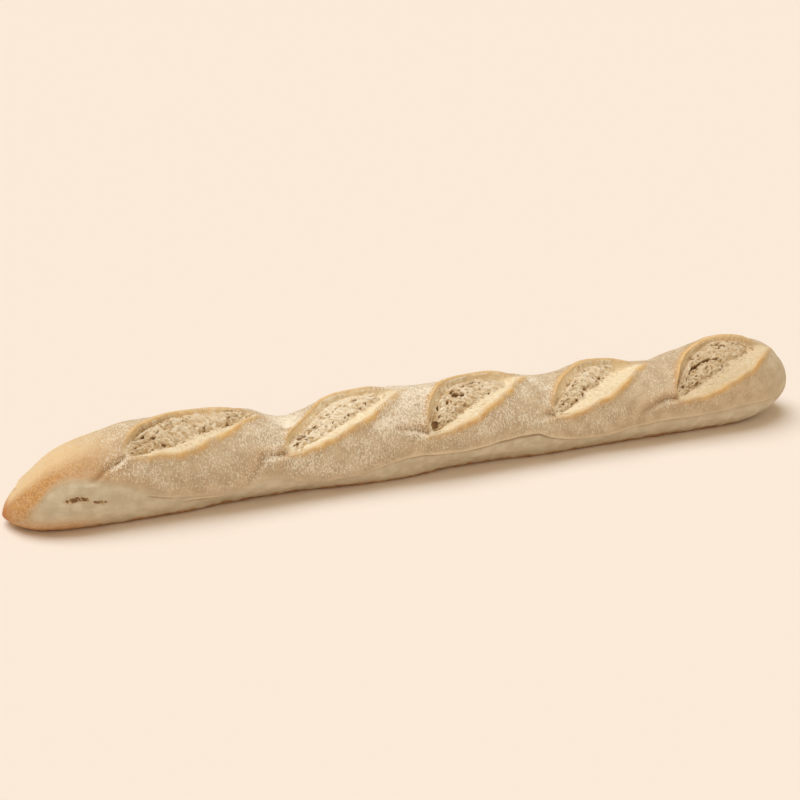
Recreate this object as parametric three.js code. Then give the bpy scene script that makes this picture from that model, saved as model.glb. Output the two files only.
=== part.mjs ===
// A rustic baguette: one long loaf, baked on a flat stone, with five slashes across its back.
// The loaf lies along X on its flat sole, at z = 0. Its pointed tip is at -X, its blunt end at +X,
// and its slashes lean towards -Y. All sizes are in millimetres.
//
// The surface is a ball of dough, SphereGeometry, drawn out to the loaf's own form. A place on it is
// given by x, and by the turn: 0 degrees is the side at -Y, 90 the crest, 180 the side at +Y.
import * as THREE from "three";
import { mergeVertices } from "three/addons/utils/BufferGeometryUtils.js";

// The loaf
const LENGTH = 550;
const WIDTH = 64;
const HEIGHT = 53;
const BELT_SHARE = 0.4; // the widest level, as a share of the height
const SOLE_SHARE = 0.65; // the flat sole's width, as a share of the loaf's

// The pointed tip and the blunt end: the height each ends at, how far its sides, its crest and its
// upturned sole taper, and how round each taper is
const TIP = {
  height: 6,
  width: { reach: 62, power: 2.6, root: 0.6 },
  crest: { reach: 96, power: 2.1, root: 0.68 },
  sole: { reach: 22, power: 1.5, root: 0.9 },
};
const END = {
  height: 19,
  width: { reach: 54, power: 2.2, root: 0.55 },
  crest: { reach: 30, power: 2.6, root: 0.58 },
  sole: { reach: 68, power: 2, root: 0.5 },
};

// The slashes. Each opening runs from its low end, on the side, to its high end, near the crest, both
// given by x and turn. nearBow and farBow are how far its two lips stand off the line between those
// ends. The fold that trails back from its low end has a reach along X, and drops by some degrees.
const SLASHES = [
  { low: [-203, 51], high: [-115, 88], nearBow: 13.5, farBow: 19, fold: { reach: 17, drop: 20 } },
  { low: [-104, 23], high: [-23, 86], nearBow: 7.5, farBow: 29, fold: { reach: 28, drop: 28 } },
  { low: [-13, 21], high: [67, 95], nearBow: 9, farBow: 26.5, fold: { reach: 18, drop: -12 } },
  { low: [76, 21], high: [158, 92], nearBow: 10.5, farBow: 25.5, fold: { reach: 8, drop: -4 } },
  { low: [169, 19], high: [252, 70], nearBow: 8, farBow: 31, fold: { reach: 26, drop: 7 } },
];
const NEAR_CURVE = { lean: 0.9, fullness: 0.75 };
const FAR_CURVE = { lean: 0.92, fullness: 0.75 };
const GIRTH_RADIUS = 32; // turns a slash's angle into a length along the crust
const SLASH_DEPTH = 6; // the crumb's floor, under the crust
const NEAR_LIP = { height: 1.8, width: 4.5 };
const FAR_LIP = { height: 3, width: 6 };
const CRAGS = { height: 1.1, pitch: 8.5 }; // the torn crumb between the lips
const FOLD = { depth: 1.8, width: 3.5, lap: 1 }; // its groove, and how far its lower edge laps up
const WHOLE_GAP = 24; // a slash has its full depth where its lips stand this far apart

// How far the back has risen behind each slash and dipped between two: x and lift, from tip to end
const BACK = [
  [-275, 0], [-256, -0.2], [-242, 1.2], [-214, -0.2], [-200, 1.1], [-186, 0.2], [-158, 0.8],
  [-132, -0.5], [-120, -1.4], [-108, -8.4], [-97, -13.6], [-86, -10.4], [-74, -4], [-60, -1.1],
  [-32, 0.9], [-8, -0.6], [34, -0.1], [48, -1.3], [60, -2.8], [72, -5.8], [84, -7.4], [96, -5.3],
  [108, -1.3], [120, -0.9], [146, -4], [160, -5.4], [172, -6.3], [184, -1.8], [196, 1.1],
  [208, 4.1], [220, 5.3], [232, 4.2], [244, 2.1], [256, -0.6], [275, -6],
];

// The seam, where the pale lower side meets the crust: at -Y x and height, from tip to end, and at
// +Y a wave
const SEAM = [
  [-275, 4], [-263, 11.4], [-251, 22.8], [-244, 29.5], [-235, 33.6], [-226, 34.6], [-213, 32.9],
  [-200, 29], [-189, 23.2], [-175, 17.2], [-157, 14.5], [-142, 13.7], [-134, 15], [-124, 19.4],
  [-117, 20.9], [-110, 20.2], [-98, 15], [-87, 11.8], [-76, 10.7], [-65, 11.1], [-48, 14.7],
  [-34, 18.8], [-20, 20.7], [-1, 19.3], [22, 20.4], [38, 22], [51, 23.7], [64, 23], [72, 19.8],
  [84, 16.2], [98, 13.4], [111, 12.5], [122, 13.4], [131, 16.3], [150, 18.3], [179, 18.7],
  [200, 19], [226, 21.3], [240, 20.9], [275, 17],
];
const FAR_SEAM = { height: 19, wave: 4, pitch: 165 };
const SEAM_STEP = 0.9; // how far the lower side lies back from the crust
const SEAM_SOFTNESS = 2.5;

const UNEVENNESS = 0.8; // how far hand-shaped dough strays from a true form

// A small tear low on the tip's side
const TEAR = { x: -229, turn: 14, length: 22, height: 5, depth: 1.4 };

// The mesh: rings along the loaf and points round each
const RINGS = 132;
const POINTS_ROUND = 44;
const DENSE_TURN = 72; // where the points round a ring lie closest
const DENSE_SHARE = 0.45;

const CRUST = { color: 0xcdb183, roughness: 0.85, metalness: 0 };

const { clamp, degToRad, lerp, smoothstep } = THREE.MathUtils;
const HALF_LENGTH = LENGTH / 2;

// A turn, in degrees, as a length round the crust
function girth(turn) {
  return degToRad(turn) * GIRTH_RADIUS;
}

// 0 at the point and 1 from its reach on, rising steeply first, as a rounded end does
function dome(distance, { reach, power, root }) {
  const left = 1 - clamp(distance / reach, 0, 1);
  return (1 - left ** power) ** root;
}

// A low, uneven swell from -1 to 1, as dough shaped by hand has
function unevenness(x, turn) {
  const round = degToRad(turn);
  return (
    0.45 * Math.sin(x / 23 + 2 * round + 0.4) +
    0.35 * Math.sin(x / 41 - round + 2.1) +
    0.2 * Math.sin(x / 11 + 3 * round + 1.3)
  );
}

// The loaf's four outlines at x: half its width, and the heights of its sole, widest level and crest
function outlines(x) {
  const fromTip = x + HALF_LENGTH;
  const fromEnd = HALF_LENGTH - x;
  const halfWidth = (WIDTH / 2) * dome(fromTip, TIP.width) * dome(fromEnd, END.width);
  const crestAlong = lerp(TIP.height, HEIGHT, dome(fromTip, TIP.crest));
  const crest = lerp(END.height, crestAlong, dome(fromEnd, END.crest));
  const sole = TIP.height * (1 - dome(fromTip, TIP.sole)) + END.height * (1 - dome(fromEnd, END.sole));
  return { halfWidth, sole, crest, belt: lerp(sole, crest, BELT_SHARE) };
}

// The smooth loaf, before any relief. Below its widest level the side turns in to the flat sole.
const SIDE_POWER = 1.25;
const SIDE_FALL = 1 / Math.sin(Math.acos(SOLE_SHARE)) ** SIDE_POWER;

function smoothLoaf(x, turn) {
  const { halfWidth, sole, crest, belt } = outlines(x);
  const out = Math.cos(degToRad(turn));
  const up = Math.sin(degToRad(turn));
  const height =
    up >= 0
      ? belt + (crest - belt) * up
      : Math.max(sole, belt - (belt - sole) * SIDE_FALL * (-up) ** SIDE_POWER);
  return new THREE.Vector3(x, -halfWidth * out, height);
}

// A place on the crust in a slash's own terms: along is 0 at the low end and 1 at the high one, and
// across is the distance from the line between them, positive towards +Y.
function inSlash({ low: [lowX, lowTurn], high: [highX, highTurn] }, x, turn) {
  const run = highX - lowX;
  const rise = girth(highTurn - lowTurn);
  const length = Math.hypot(run, rise);
  const forward = x - lowX;
  const up = girth(turn - lowTurn);
  return {
    along: (forward * run + up * rise) / length ** 2,
    across: (up * run - forward * rise) / length,
    length,
  };
}

// How far a lip stands off, from 0 at the slash's ends to 1 where it gapes most
function gape(along, { lean, fullness }) {
  const share = clamp(along, 0, 1) ** lean;
  return Math.sin(Math.PI * share) ** fullness;
}

function ridge(distance, { height, width }) {
  return height * Math.exp(-((distance / width) ** 2) * 2);
}

// The crumb's own roughness, from -1 to 1
function crag(x, round) {
  const wave = (2 * Math.PI) / CRAGS.pitch;
  return (
    0.6 * Math.sin(wave * x + 1.7 * Math.sin(wave * 0.6 * round)) +
    0.4 * Math.sin(wave * 1.6 * round + 2.2 * Math.sin(wave * 0.5 * x + 1))
  );
}

// One slash's relief: a rounded near lip, a sloping inner wall, the crumb's floor and a raised far lip
function slashRelief(slash, x, turn) {
  const { along, across, length } = inSlash(slash, x, turn);
  const fade = 12 / length;
  const open = smoothstep(along, -fade, fade) * (1 - smoothstep(along, 1 - fade, 1 + fade));
  if (open === 0) return 0;
  const near = -slash.nearBow * gape(along, NEAR_CURVE);
  const far = slash.farBow * gape(along, FAR_CURVE);
  const gap = Math.max(far - near, 0.001);
  const inside = clamp((across - near) / gap, 0, 1);
  const floor = smoothstep(inside, 0.02, 0.5) * (1 - smoothstep(inside, 0.8, 1));
  const whole = smoothstep(gap, 2, WHOLE_GAP);
  const lips = ridge(across - near, NEAR_LIP) + ridge(across - far, FAR_LIP) * whole;
  const rough = CRAGS.height * crag(x, girth(turn)) * floor * smoothstep(inside, 0.3, 0.5);
  return open * (lips - SLASH_DEPTH * floor * whole + rough);
}

// The fold that trails from a slash's low end: a groove, with the dough lapping up below it
function foldRelief({ low: [lowX, lowTurn], fold }, x, turn) {
  const back = (lowX - x) / fold.reach;
  if (back < -0.2 || back > 1.2) return 0;
  const above = girth(turn - lowTurn + fold.drop * clamp(back, 0, 1) ** 1.5);
  const groove = ridge(above, { height: FOLD.depth, width: FOLD.width });
  const lap = ridge(above + FOLD.width, { height: FOLD.lap, width: FOLD.width });
  return (lap - groove) * smoothstep(back, -0.2, 0.1) * (1 - smoothstep(back, 0.6, 1.2));
}

// A smooth line through [x, value] points, read at x
function lineThrough(points) {
  const curve = new THREE.SplineCurve(points.map(([x, value]) => new THREE.Vector2(x, value)));
  return (x) => {
    const next = clamp(points.findIndex(([pointX]) => pointX >= x), 1, points.length - 1);
    const share = (x - points[next - 1][0]) / (points[next][0] - points[next - 1][0]);
    return curve.getPoint(clamp((next - 1 + share) / (points.length - 1), 0, 1)).y;
  };
}

const backLift = lineThrough(BACK);
const nearSeam = lineThrough(SEAM);

function seamHeight(x, turn) {
  if (turn < 90) return nearSeam(x);
  return FAR_SEAM.height + FAR_SEAM.wave * Math.sin((2 * Math.PI * x) / FAR_SEAM.pitch);
}

function backRelief(x, turn) {
  const crestward = Math.max(0, Math.sin(degToRad(turn))) ** 1.5;
  return crestward * backLift(x);
}

// The pale lower side lies back from the crust above it
function seamRelief(x, turn, height) {
  const below = seamHeight(x, turn) - height;
  return -SEAM_STEP * smoothstep(below, 0, SEAM_SOFTNESS);
}

function tearRelief(x, turn) {
  const along = (x - TEAR.x) / (TEAR.length / 2);
  const up = girth(turn - TEAR.turn) / (TEAR.height / 2);
  return -TEAR.depth * Math.exp(-(along ** 2) - up ** 2);
}

// All relief at one place, in millimetres out of the smooth loaf. It dies out at the sole and the ends.
function relief(x, turn) {
  const base = smoothLoaf(x, turn);
  const offSole = smoothstep(base.z, 1, 8);
  const offEnds = smoothstep(HALF_LENGTH - Math.abs(x), 2, 16);
  let rise = backRelief(x, turn) + seamRelief(x, turn, base.z) + tearRelief(x, turn);
  rise += UNEVENNESS * unevenness(x, turn);
  for (const slash of SLASHES) rise += slashRelief(slash, x, turn) + foldRelief(slash, x, turn);
  return offSole * offEnds * rise;
}

// The smooth loaf's outward direction, from two short steps along and round it
function outward(x, turn) {
  const step = 0.5;
  const along = smoothLoaf(x + step, turn).sub(smoothLoaf(x - step, turn));
  const round = smoothLoaf(x, turn + step).sub(smoothLoaf(x, turn - step));
  return along.cross(round).normalize();
}

// The crest line seen from the side, so that rings can be spaced evenly along it
class CrestLine extends THREE.Curve {
  getPoint(share, target = new THREE.Vector3()) {
    const x = -HALF_LENGTH * Math.cos(Math.PI * share);
    return target.set(x, 0, outlines(x).crest);
  }
}

// The turn of the point at this share round a ring: points lie closest where the slashes are
function turnAt(share) {
  const dense = DENSE_TURN / 360;
  return 360 * share - (DENSE_SHARE * 180 * Math.sin(2 * Math.PI * (share - dense))) / Math.PI;
}

function shapeLoaf() {
  const ball = new THREE.SphereGeometry(1, POINTS_ROUND, RINGS);
  const { position, uv } = ball.attributes;
  const crestLine = new CrestLine();
  crestLine.arcLengthDivisions = 2000;
  const place = new THREE.Vector3();
  for (let i = 0; i < position.count; i++) {
    const share = uv.getY(i);
    const atPole = share === 0 || share === 1;
    const lap = uv.getX(i) % 1; // the ball's last column is its first again
    const turn = atPole ? 90 : turnAt(0.75 - lap);
    const { x } = crestLine.getPointAt(share);
    place.copy(smoothLoaf(x, turn));
    if (!atPole) place.addScaledVector(outward(x, turn), relief(x, turn));
    position.setXYZ(i, place.x, place.y, Math.max(place.z, 0));
  }
  ball.deleteAttribute("normal");
  ball.deleteAttribute("uv");
  return mergeVertices(ball, 1e-3);
}

// Stands the loaf on z = 0, with the middle of its outline over the origin
function centre(geometry) {
  geometry.computeBoundingBox();
  const { min, max } = geometry.boundingBox;
  geometry.translate(-(min.x + max.x) / 2, -(min.y + max.y) / 2, -min.z);
  geometry.computeVertexNormals();
  return geometry;
}

const loaf = new THREE.Mesh(centre(shapeLoaf()), new THREE.MeshStandardMaterial(CRUST));
loaf.name = "loaf";

const baguette = new THREE.Group();
baguette.add(loaf);

export default baguette;
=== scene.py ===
import math

import bpy
import numpy as np
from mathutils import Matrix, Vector


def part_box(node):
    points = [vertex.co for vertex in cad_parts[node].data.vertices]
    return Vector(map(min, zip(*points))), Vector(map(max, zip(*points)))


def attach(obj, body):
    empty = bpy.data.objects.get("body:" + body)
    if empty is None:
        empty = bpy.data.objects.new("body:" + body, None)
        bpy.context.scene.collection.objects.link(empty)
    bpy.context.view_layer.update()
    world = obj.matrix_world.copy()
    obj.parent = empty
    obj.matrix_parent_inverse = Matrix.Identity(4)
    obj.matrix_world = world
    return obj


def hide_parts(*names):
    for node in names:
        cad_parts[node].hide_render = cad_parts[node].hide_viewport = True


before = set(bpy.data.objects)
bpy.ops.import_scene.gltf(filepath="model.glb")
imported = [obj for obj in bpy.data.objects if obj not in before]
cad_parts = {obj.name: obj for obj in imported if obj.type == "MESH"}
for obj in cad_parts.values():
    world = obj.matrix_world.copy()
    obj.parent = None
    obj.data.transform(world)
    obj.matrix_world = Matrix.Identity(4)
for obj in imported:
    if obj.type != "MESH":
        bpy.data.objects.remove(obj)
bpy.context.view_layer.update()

MM = 0.001

# ---------------- the loaf's own sizes

loaf_low, loaf_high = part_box("loaf")
LENGTH = (loaf_high[0] - loaf_low[0]) / MM
WIDTH = 64.0
HEIGHT = 53.0
BELT_SHARE = 0.4  # the widest level, as a share of the height
SOLE_SHARE = 0.65  # the flat sole's width, as a share of the loaf's
SIDE_POWER = 1.25  # how the side turns in to the sole
GIRTH_RADIUS = 32.0  # turns an angle round the loaf into a length along the crust

# each end: the height it ends at, and the reach, power and root of each taper
TIP = {"height": 6.0, "width": (62, 2.6, 0.6), "crest": (96, 2.1, 0.68), "sole": (22, 1.5, 0.9)}
END = {"height": 19.0, "width": (54, 2.2, 0.55), "crest": (30, 2.6, 0.58), "sole": (68, 2, 0.5)}

# A slash runs from its low end to its high end, each given by x and by the turn round the loaf in
# degrees: 0 is the side at -Y, 90 the crest. Its lips bow away from that line. Between them, walls
# of skin go down to the crumb. The crumb shows between two shares of the gap, each given at five
# places from the low end to the high one, up to a share of the slash's length. It lies at these
# heights from near to far, and is baked to this share.
SLASHES = [
    {"low": (-203, 51), "high": (-115, 88), "near": 13.5, "far": 19.0,
     "crumb_near": (0.06, 0.13, 0.24, 0.3, 0.28), "crumb_far": (0.77, 0.96, 1.05, 1.05, 0.9),
     "crumb_end": 0.95, "heights": (-3.2, -2.6, -1.6, -0.4, 0.8), "baked": 0.3},
    {"low": (-104, 23), "high": (-23, 86), "near": 7.5, "far": 29.0,
     "crumb_near": (0.03, 0.06, 0.13, 0.25, 0.42), "crumb_far": (0.72, 0.8, 0.96, 1.05, 1.0),
     "crumb_end": 0.9, "heights": (-3.6, -3.0, -2.8, -2.6, -1.6), "baked": 0.02},
    {"low": (-13, 21), "high": (67, 95), "near": 9.0, "far": 26.5,
     "crumb_near": (0.08, 0.13, 0.18, 0.23, 0.34), "crumb_far": (0.76, 0.86, 0.98, 1.05, 1.0),
     "crumb_end": 0.88, "heights": (-3.6, -2.8, -2.6, -3.0, -0.2), "baked": 0.12},
    {"low": (76, 21), "high": (158, 92), "near": 10.5, "far": 25.5,
     "crumb_near": (0.08, 0.18, 0.32, 0.44, 0.55), "crumb_far": (0.7, 0.78, 0.94, 1.0, 0.9),
     "crumb_end": 0.74, "heights": (-3.4, -2.8, -2.2, -1.6, -0.4), "baked": 0.12},
    {"low": (169, 19), "high": (252, 70), "near": 8.0, "far": 31.0,
     "crumb_near": (0.09, 0.18, 0.26, 0.34, 0.46), "crumb_far": (0.82, 0.88, 1.0, 1.05, 1.0),
     "crumb_end": 0.92, "heights": (-3.4, -2.8, -2.6, -1.8, -0.2), "baked": 0.48},
]
NEAR_CURVE = (0.9, 0.75)  # the lean and the fullness of a lip's bow
FAR_CURVE = (0.92, 0.75)
SLASH_DEPTH = 6.0
UNEVENNESS = 0.8
WHOLE_GAP = 24.0  # a slash has its full depth where its lips stand this far apart

# x and lift of the back, and x and height of the seam above the pale lower side
BACK = [
    (-275, 0), (-256, -0.2), (-242, 1.2), (-214, -0.2), (-200, 1.1), (-186, 0.2), (-158, 0.8),
    (-132, -0.5), (-120, -1.4), (-108, -8.4), (-97, -13.6), (-86, -10.4), (-74, -4), (-60, -1.1),
    (-32, 0.9), (-8, -0.6), (34, -0.1), (48, -1.3), (60, -2.8), (72, -5.8), (84, -7.4), (96, -5.3),
    (108, -1.3), (120, -0.9), (146, -4), (160, -5.4), (172, -6.3), (184, -1.8), (196, 1.1),
    (208, 4.1), (220, 5.3), (232, 4.2), (244, 2.1), (256, -0.6), (275, -6),
]
SEAM = [
    (-275, 4), (-263, 11.4), (-251, 22.8), (-244, 29.5), (-235, 33.6), (-226, 34.6), (-213, 32.9),
    (-200, 29), (-189, 23.2), (-175, 17.2), (-157, 14.5), (-142, 13.7), (-134, 15), (-124, 19.4),
    (-117, 20.9), (-110, 20.2), (-98, 15), (-87, 11.8), (-76, 10.7), (-65, 11.1), (-48, 14.7),
    (-34, 18.8), (-20, 20.7), (-1, 19.3), (22, 20.4), (38, 22), (51, 23.7), (64, 23), (72, 19.8),
    (84, 16.2), (98, 13.4), (111, 12.5), (122, 13.4), (131, 16.3), (150, 18.3), (179, 18.7),
    (200, 19), (226, 21.3), (240, 20.9), (275, 17),
]
# flour on the waists' tops: partly real flour, partly a painted highlight on those tops
WAIST_FLOUR_AND_HIGHLIGHT = [(-100, 24, 0.36), (-13, 20, 0.16), (72, 18, 0.13)]  # x, reach, cover
FAR_SEAM = {"height": 19.0, "wave": 4.0, "pitch": 165.0}
CRISPNESS = [  # x, and how clearly the seam stands out there, from 0 to 1
    (-275, 0), (-215, 0), (-190, 0.12), (-165, 0.22), (-140, 0.06), (-95, 0.12), (-50, 0.3),
    (-28, 0.85), (60, 1), (108, 0.8), (150, 0.5), (185, 0.25), (275, 0.15),
]
TEARS = [  # small bursts low on the tip's side: x, turn, length, height
    (-230.5, 15.5, 18, 5.2),
    (-218, 5, 9, 2.8),
]
TEAR_TILT = 0.28  # how they fall away from the tip
FOOT = [  # x, and how far the loaf's foot at -Y draws in
    (-275, 0), (-170, 0), (-140, 3.4), (-90, 3.4), (-62, 0), (-25, -1.2), (5, 3), (42, 3.6),
    (66, 1), (120, 1.6), (200, 1.6), (275, 2),
]
# the creases that trail back from the slashes' low ends, as (x, turn) from the slash outward
FOLDS = [
    [(-199, 51), (-202, 47), (-205, 44.5), (-209, 42), (-213, 39), (-215, 35), (-219, 31)],
    [(-102, 23), (-109, 24), (-114, 25), (-118, 24), (-120, 20), (-123, 13), (-127, 5), (-131, -7)],
    [(-11, 23.5), (-14, 26), (-19, 29), (-25, 31), (-31, 33)],
    [(78, 22), (73, 25), (69, 24)],
    [(171, 19), (167, 22), (162, 23), (158, 21), (152, 18), (147, 14), (143, 11)],
]

FLAKES = [  # thin flakes that lift on the pale side, as (x, turn)
    [(-192, 2), (-187, -4), (-182, -9), (-177, -12), (-171, -14)],
    [(-172, -26), (-166, -24), (-158, -25), (-149, -26), (-140, -25)],
]

# ---------------- small maths


def clamp01(value):
    return np.clip(value, 0.0, 1.0)


def smoothstep(value, low, high):
    share = clamp01((value - low) / (high - low))
    return share * share * (3 - 2 * share)


def mix(a, b, share):
    return a + (b - a) * share


def bell(distance, width):
    return np.exp(-2 * (distance / width) ** 2)


def dome(distance, taper):
    """0 at the point and 1 from the taper's reach on, rising steeply first."""
    reach, power, root = taper
    return (1 - (1 - clamp01(distance / reach)) ** power) ** root


def line_through(points):
    """A smooth line through (x, value) points, read at x."""
    xs = np.array([p[0] for p in points], float)
    values = np.array([p[1] for p in points], float)

    def read(x):
        start = np.clip(np.searchsorted(xs, x) - 1, 0, len(xs) - 2)
        share = clamp01((x - xs[start]) / (xs[start + 1] - xs[start]))
        before, here = values[np.maximum(start - 1, 0)], values[start]
        there, after = values[start + 1], values[np.minimum(start + 2, len(xs) - 1)]
        leave, arrive = (there - before) / 2, (after - here) / 2
        cubic = 2 * here - 2 * there + leave + arrive
        square = -3 * here + 3 * there - 2 * leave - arrive
        return ((cubic * share + square) * share + leave) * share + here

    return read


def chance(cells, seed):
    """A random value from 0 to 1 for each cell of whole numbers."""
    key = cells * np.array([73856093, 19349663, 83492791])[: cells.shape[1]]
    mixed = seed * 2654435761
    for column in range(cells.shape[1]):
        mixed = mixed ^ key[:, column]
    mixed = ((mixed ^ (mixed >> 15)) * 2246822519) & 0xFFFFFFFF
    mixed = ((mixed ^ (mixed >> 13)) * 3266489917) & 0xFFFFFFFF
    return ((mixed ^ (mixed >> 16)) & 0xFFFFFF) / float(0xFFFFFF)


def lumps(places, pitch, seed):
    """Smooth random values from -1 to 1, with a lump every pitch millimetres."""
    grid = places / np.asarray(pitch, float)
    cell = np.floor(grid).astype(np.int64)
    share = grid - cell
    share = share * share * (3 - 2 * share)
    total = np.zeros(len(places))
    for corner in range(8):
        step = np.array([corner & 1, corner >> 1 & 1, corner >> 2 & 1])
        weight = np.prod(np.where(step == 1, share, 1 - share), axis=1)
        total += weight * (2 * chance(cell + step, seed) - 1)
    return total


# ---------------- the loaf's form


def outlines(x):
    """Half the width, and the heights of the sole, the widest level and the crest, at x."""
    from_tip, from_end = x + LENGTH / 2, LENGTH / 2 - x
    half_width = WIDTH / 2 * dome(from_tip, TIP["width"]) * dome(from_end, END["width"])
    crest_along = mix(TIP["height"], HEIGHT, dome(from_tip, TIP["crest"]))
    crest = mix(END["height"], crest_along, dome(from_end, END["crest"]))
    sole = TIP["height"] * (1 - dome(from_tip, TIP["sole"]))
    sole += END["height"] * (1 - dome(from_end, END["sole"]))
    return half_width, sole, mix(sole, crest, BELT_SHARE), crest


SIDE_FALL = 1 / math.sin(math.acos(SOLE_SHARE)) ** SIDE_POWER


def smooth_loaf(x, turn):
    half_width, sole, belt, crest = outlines(x)
    out, up = np.cos(np.radians(turn)), np.sin(np.radians(turn))
    above = belt + (crest - belt) * up
    below = belt - (belt - sole) * SIDE_FALL * np.maximum(-up, 0) ** SIDE_POWER
    height = np.where(up >= 0, above, np.maximum(sole, below))
    return np.stack([x, -half_width * out, height], axis=1)


def unit(vectors):
    return vectors / np.maximum(np.linalg.norm(vectors, axis=1, keepdims=True), 1e-9)


def directions(x, turn):
    """The ways outward, along the loaf and round it, at each place."""
    step = 0.5
    along = unit(smooth_loaf(x + step, turn) - smooth_loaf(x - step, turn))
    round_ = unit(smooth_loaf(x, turn + step) - smooth_loaf(x, turn - step))
    return unit(np.cross(along, round_)), along, round_


def girth(turn):
    return np.radians(turn) * GIRTH_RADIUS


def slash_axes(slash):
    run = slash["high"][0] - slash["low"][0]
    rise = girth(slash["high"][1] - slash["low"][1])
    length = math.hypot(run, rise)
    return run / length, rise / length, length


def in_slash(slash, x, turn):
    """The share along the slash, and the distance across it, positive towards +Y."""
    run, rise, length = slash_axes(slash)
    forward, up = x - slash["low"][0], girth(turn - slash["low"][1])
    return (forward * run + up * rise) / length, up * run - forward * rise


def out_of_slash(slash, along, across):
    run, rise, length = slash_axes(slash)
    x = slash["low"][0] + along * length * run - across * rise
    return x, slash["low"][1] + np.degrees((along * length * rise + across * run) / GIRTH_RADIUS)


def at_share(values, share):
    """A value at this share, from values given evenly from 0 to 1."""
    return np.interp(share, np.linspace(0, 1, len(values)), values)


def gape(along, curve):
    lean, fullness = curve
    return np.sin(np.pi * clamp01(along) ** lean) ** fullness


def lips(slash, along):
    """Where the near and the far lip lie across the slash. Torn dough makes them wander."""
    length, start = slash_axes(slash)[2], slash["low"][0]
    track = np.stack([along * length, np.full_like(along, start), np.zeros_like(along)], 1)
    wander = smoothstep(along, 0, 0.15) * smoothstep(1 - along, 0, 0.15)
    near_stray = 1.2 * lumps(track, 11, 1) + 0.8 * lumps(track, 5, 2)
    far_stray = 0.7 * lumps(track, 15, 3) + 0.4 * lumps(track, 6, 4)
    near = -slash["near"] * gape(along, NEAR_CURVE) + wander * near_stray
    far = slash["far"] * gape(along, FAR_CURVE) + wander * far_stray
    return near, np.maximum(far, near + 0.01)


read_back = line_through(BACK)
read_seam = line_through(SEAM)
read_crispness = line_through(CRISPNESS)
read_foot = line_through(FOOT)


def seam_height(x, turn):
    far = FAR_SEAM["height"] + FAR_SEAM["wave"] * np.sin(2 * np.pi * x / FAR_SEAM["pitch"])
    return np.where(turn < 90, read_seam(x), far)


def unevenness(x, turn):
    round_ = np.radians(turn)
    waves = 0.45 * np.sin(x / 23 + 2 * round_ + 0.4) + 0.35 * np.sin(x / 41 - round_ + 2.1)
    return UNEVENNESS * (waves + 0.2 * np.sin(x / 11 + 3 * round_ + 1.3))


def crestward(turn):
    return np.maximum(0, np.sin(np.radians(turn))) ** 1.5


def hold(x, base):
    """0 on the sole and at the two ends, where no relief may reach, and 1 elsewhere."""
    return smoothstep(base[:, 2], 1, 8) * smoothstep(LENGTH / 2 - np.abs(x), 2, 16)


def along_line(points, x, turn):
    """The distance from a line of (x, turn) points, the sign of its left, and the share along."""
    place = np.stack([x, girth(turn)], axis=1)
    corners = np.array([(px, girth(pt)) for px, pt in points])
    lengths = np.linalg.norm(np.diff(corners, axis=0), axis=1)
    total, passed = lengths.sum(), 0.0
    nearest, side, share = np.full(len(x), 1e9), np.ones(len(x)), np.zeros(len(x))
    for start, end, length in zip(corners[:-1], corners[1:], lengths):
        way = (end - start) / length
        off = place - start
        run = np.clip(off @ way, 0, length)
        gap = np.linalg.norm(off - run[:, None] * way, axis=1)
        closer = gap < nearest
        nearest = np.where(closer, gap, nearest)
        side = np.where(closer, np.sign(off[:, 1] * way[0] - off[:, 0] * way[1]), side)
        share = np.where(closer, (passed + run) / total, share)
        passed += length
    return nearest, side, share


def crumb_edges(slash, along):
    """The shares of the gap between which the crumb shows."""
    return at_share(slash["crumb_near"], along), at_share(slash["crumb_far"], along)


# the masks for the crests and the lit edges paint highlights, the mask for creases paints shade,
# and the far side's wall mask paints that wall lighter against its shade
MASKS = (
    "rim", "painted_highlight", "wall", "far_wall_painted_light", "gold", "pale", "crease_shade", "painted_edge_highlight", "flour", "sole",
    "nub", "baked", "way", "cross",
)
SLASH_FADE = 12.0  # how far past its ends a slash still shows
# a slash's lips: the height of each, its reach away from the gap and into it, and how far and how
# widely it leans
NEAR_LIP = {"height": 1.8, "away": 4.5, "into": 2.2, "lean": 0.8, "leaning": 1.8}
FAR_LIP = {"height": 3.0, "away": 6.0, "into": 3.0, "lean": -1.3, "leaning": 2.4}
TEAR_DEPTH = 1.5
# height, pitch and seed of the dough's lumps, from large to small
DOUGH_LUMPS = [(0.4, 26, 21), (0.28, 11, 22), (0.13, 5, 23), (0.07, (2.0, 2.6, 2.6), 24)]
FLOUR_NEAR_TIP, FLOUR_NEAR_END = 0.5, 0.28  # how much of the crust flour covers


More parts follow.
